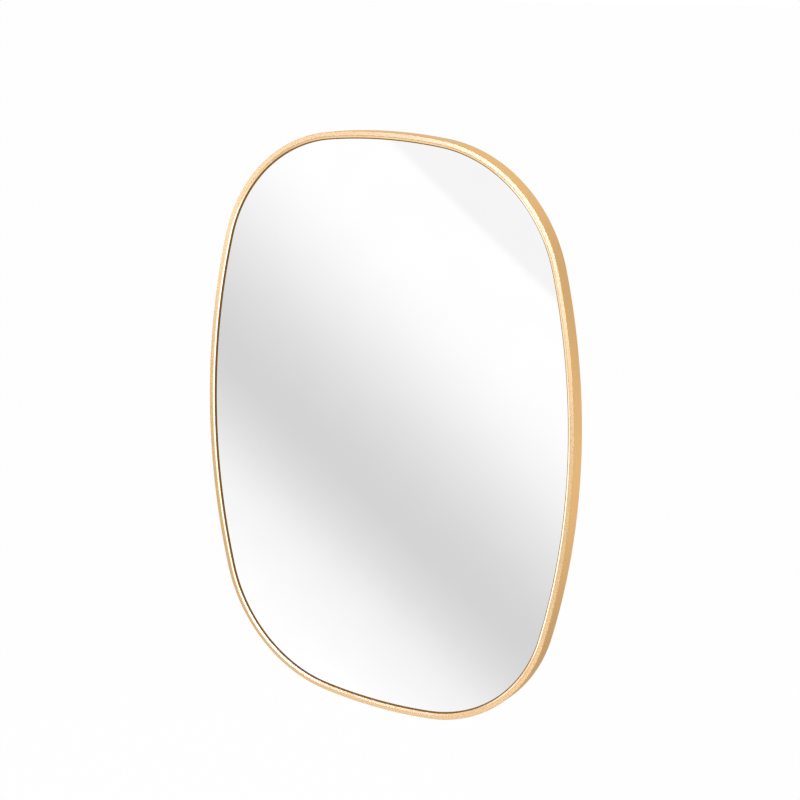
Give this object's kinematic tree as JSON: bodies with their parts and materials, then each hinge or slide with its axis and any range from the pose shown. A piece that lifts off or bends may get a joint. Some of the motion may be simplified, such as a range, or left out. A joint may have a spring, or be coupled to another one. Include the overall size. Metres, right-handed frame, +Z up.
{
  "type": "wall mirror",
  "caption": "Tall wall mirror with bowed sides and wide round corners: flat glass in a slim brushed gold frame, with swinging rings behind for hanging it upright or sideways.",
  "frame": {"origin": "midpoint between the bearing points of the two upright hanger rings, in the plane of the wall", "axes": "+X to the viewer's right, +Y out of the back of the mirror into the wall, +Z up; the glass faces -Y"},
  "size_m": [0.66, 0.0255, 0.9],
  "materials": {
    "gold_frame": "light gold, brushed along the bar",
    "mirror": "clear silvered float glass",
    "film": "grey safety film",
    "board": "raw fibreboard",
    "foam": "white closed-cell foam",
    "zinc_steel": "bright zinc plate",
    "black_steel": "black oxide",
    "spring_steel": "blued spring steel",
    "rubber": "matt black rubber"
  },
  "bodies": {
    "mirror": {"frame_left": "gold_frame", "frame_right": "gold_frame", "splice_key_top": "zinc_steel", "splice_key_bottom": "zinc_steel", "hanger_plate_upright_left": "zinc_steel", "hanger_plate_upright_right": "zinc_steel", "hanger_plate_sideways_upper": "zinc_steel", "hanger_plate_sideways_lower": "zinc_steel", "hanger_screws_upright_left": "zinc_steel", "hanger_screws_upright_right": "zinc_steel", "hanger_screws_sideways_upper": "zinc_steel", "hanger_screws_sideways_lower": "zinc_steel", "key_screws_top": "black_steel", "key_screws_bottom": "black_steel", "foam_tape": "foam", "mirror_glass": "mirror", "safety_film": "film", "backing_board": "board", "clip_upper_left": "spring_steel", "clip_upper_right": "spring_steel", "clip_lower_left": "spring_steel", "clip_lower_right": "spring_steel", "clip_left_upper": "spring_steel", "clip_left_lower": "spring_steel", "clip_right_upper": "spring_steel", "clip_right_lower": "spring_steel", "bumper_upper_left": "rubber", "bumper_upper_right": "rubber", "bumper_lower_left": "rubber", "bumper_lower_right": "rubber"},
    "ring_upright_left": {"hanger_ring_upright_left": "zinc_steel"},
    "ring_upright_right": {"hanger_ring_upright_right": "zinc_steel"},
    "ring_sideways_upper": {"hanger_ring_sideways_upper": "zinc_steel"},
    "ring_sideways_lower": {"hanger_ring_sideways_lower": "zinc_steel"}
  },
  "joints": [
    {"name": "ring_swing_upright_left", "type": "hinge", "parent": "mirror", "child": "ring_upright_left", "pos_m": [-0.2, -0.00617, -0.01371], "axis": [-1, 0, 0], "range_deg": [0, 184]},
    {"name": "ring_swing_upright_right", "type": "hinge", "parent": "mirror", "child": "ring_upright_right", "pos_m": [0.2, -0.00617, -0.01371], "axis": [-1, 0, 0], "range_deg": [0, 184]},
    {"name": "ring_swing_sideways_upper", "type": "hinge", "parent": "mirror", "child": "ring_sideways_upper", "pos_m": [0.23629, -0.00617, -0.132], "axis": [0, 0, 1], "range_deg": [0, 184]},
    {"name": "ring_swing_sideways_lower", "type": "hinge", "parent": "mirror", "child": "ring_sideways_lower", "pos_m": [0.23629, -0.00617, -0.392], "axis": [0, 0, 1], "range_deg": [0, 184]}
  ]
}
